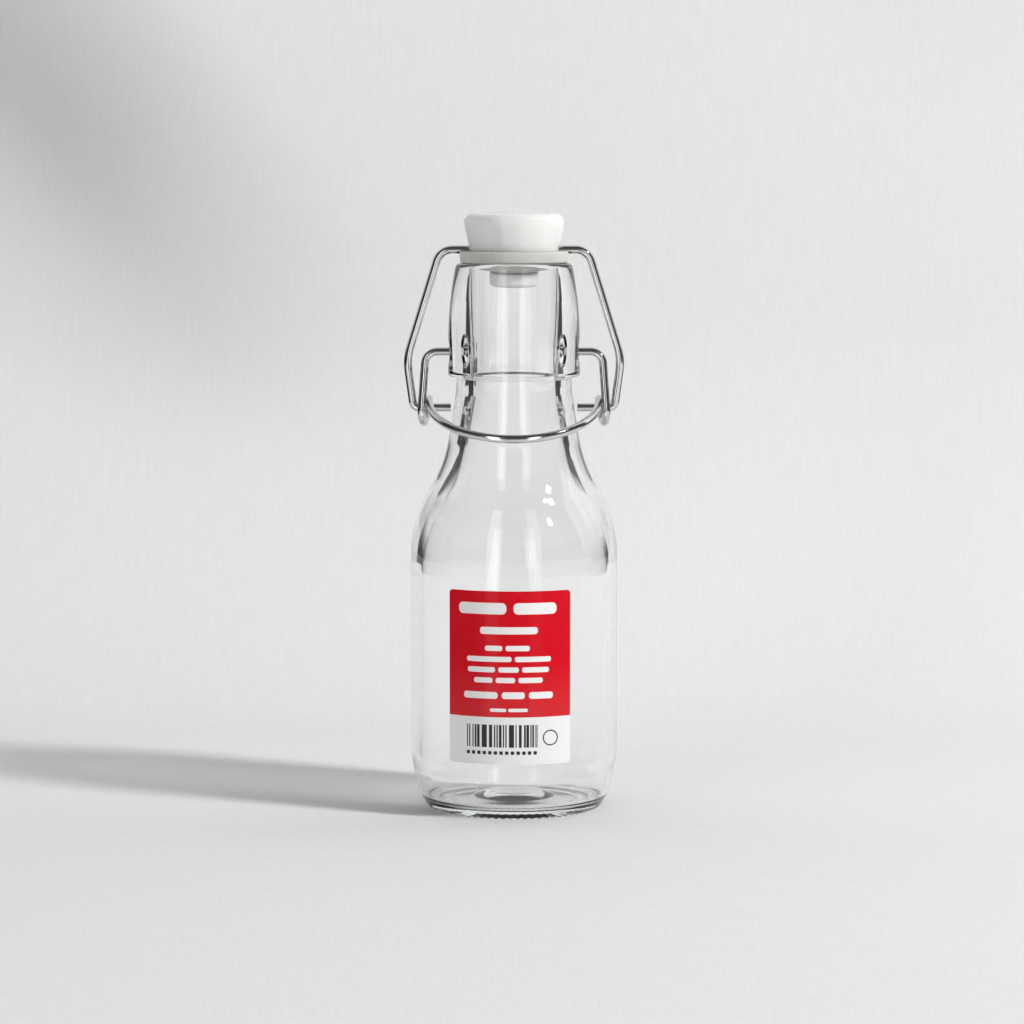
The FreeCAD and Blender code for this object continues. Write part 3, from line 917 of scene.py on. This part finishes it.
# %% [markdown]
# The light is soft and comes from all round, with one clearer lamp from the right front that
# draws the shadow, a small one beside it that leaves a bright spot on the shoulder, and two tall
# narrow panels in front that leave upright streaks on the glass and the wires. Glass also needs
# something dark: four cards out at the sides and behind, only as high as the neck's wall can see,
# draw its edges. Cards are not seen by the camera and throw no shadow, so they only show in
# reflections and through glass. The exception is a slanting bar near the wall, which is there
# only for the soft band of shade that it throws.

# %% Set the lamps, the cards and the air's own light
AIM = Vector((0, 0, 0.07))
STREAK_DISTANCE, STREAK_WIDTH, STREAK_HEIGHT = 0.15, 0.034, 0.2
CARD_HEIGHT, CARD_MIDDLE, CARD_FADE = 0.11, 0.095, 0.35
# Name, place on the floor, side it faces, width and grey of each dark card
DARK_CARDS = [
    ("left_card", -0.225, 0.066, -90, 0.29, 0.006),
    ("right_card", 0.225, 0.106, 90, 0.21, 0.02),
    ("left_wing", -0.18, 0.212, 0, 0.09, 0.006),
    ("right_wing", 0.21, 0.212, 0, 0.03, 0.02),
]
BAR_PLACE, BAR_WIDTH, BAR_LENGTH, BAR_FADE = Vector((-0.005, 0.123, 0.31)), 0.055, 0.34, 0.3
BAR_TILT = math.radians(142)


def direction(azimuth, elevation):
    """A unit vector towards a lamp. Azimuth 0 is in front and 90 is on the right, in degrees."""
    a, e = math.radians(azimuth), math.radians(elevation)
    return Vector((math.sin(a) * math.cos(e), -math.cos(a) * math.cos(e), math.sin(e)))


def lamp(name, azimuth, elevation, distance, width, height, watts):
    """A rectangular lamp that looks at the bottle."""
    away = direction(azimuth, elevation)
    bpy.ops.object.light_add(type="AREA", location=AIM + away * distance,
                             rotation=(-away).to_track_quat("-Z", "Y").to_euler())
    light = bpy.context.object
    light.name = light.data.name = name
    light.data.shape, light.data.size, light.data.size_y = "RECTANGLE", width, height
    light.data.energy = watts
    return light


def card(name, middle, away, width, height, grey, fade=0.0):
    """A standing card that only reflections and bent light can see, faded out towards its top."""
    bpy.ops.object.select_all(action="DESELECT")
    bpy.ops.mesh.primitive_plane_add(size=1, location=middle,
                                     rotation=away.to_track_quat("Z", "Y").to_euler())
    panel = bpy.context.object
    panel.name = name
    panel.scale = (width, height, 1)
    finish, shader = new_material(name + "_paint", Base_Color=(grey, grey, grey, 1), Roughness=1.0)
    if fade:
        tree = finish.node_tree
        up = add_node(tree, "SeparateXYZ", {0: object_place(tree)}).outputs["Y"]
        share = add_node(tree, "MapRange", {"Value": up, "From Min": 0.5, "From Max": 0.5 - fade})
        surface = add_node(tree, "MixShader", {0: share.outputs["Result"], 2: shader.outputs[0],
                                               1: add_node(tree, "BsdfTransparent").outputs[0]})
        tree.links.new(surface.outputs[0], tree.nodes["Material Output"].inputs["Surface"])
    panel.data.materials.append(finish)
    panel.visible_camera = panel.visible_diffuse = panel.visible_shadow = False
    return panel


def glowing(panel, glow):
    """Make a card glow, and hand it back."""
    shader = panel.data.materials[0].node_tree.nodes["Principled BSDF"]
    shader.inputs["Emission Color"].default_value = (1, 1, 1, 1)
    shader.inputs["Emission Strength"].default_value = glow
    return panel


def streak_panel(name, azimuth, glow):
    """A narrow glowing panel close in front, which only shows as an upright streak on gloss."""
    away = direction(azimuth, 0)
    middle = away * STREAK_DISTANCE + Vector((0, 0, STREAK_HEIGHT / 2))
    return glowing(card(name, middle, away, STREAK_WIDTH, STREAK_HEIGHT, 0.0), glow)


key = lamp("key_lamp", 65, 30, 2.5, 0.3, 0.3, 52.0)
lamp("spark_lamp", 61, 45, 1.2, 0.12, 0.12, 0.8)
front = lamp("front_panel", -45, 4, 1.5, 1.0, 0.8, 8.5)
top = lamp("top_panel", 0, 80, 1.3, 1.4, 1.0, 1.7)
for hidden in (key, front, top):
    hidden.visible_glossy = hidden.visible_transmission = False
glowing(card("front_glow", Vector((0, -1.3, 0.7)), direction(0, 0), 2.4, 1.4, 0.0), 0.08)
for name, x, y, side, width, grey in DARK_CARDS:
    card(name, Vector((x, y, CARD_MIDDLE)), direction(side, 0), width, CARD_HEIGHT, grey, CARD_FADE)
bar = card("shade_bar", BAR_PLACE, direction(0, 0), BAR_WIDTH, BAR_LENGTH, 0.0, BAR_FADE)
bar.rotation_euler = (math.pi / 2, BAR_TILT, 0)
bar.visible_glossy = bar.visible_transmission = False
bar.visible_shadow = True
streak_panel("left_streak", -22, 2.4)
streak_panel("right_streak", 22, 1.7)

world = bpy.data.worlds.new("soft_air")
world.use_nodes = True
world.node_tree.nodes["Background"].inputs["Color"].default_value = (0.98, 0.99, 1.0, 1)
world.node_tree.nodes["Background"].inputs["Strength"].default_value = 0.07
bpy.context.scene.world = world
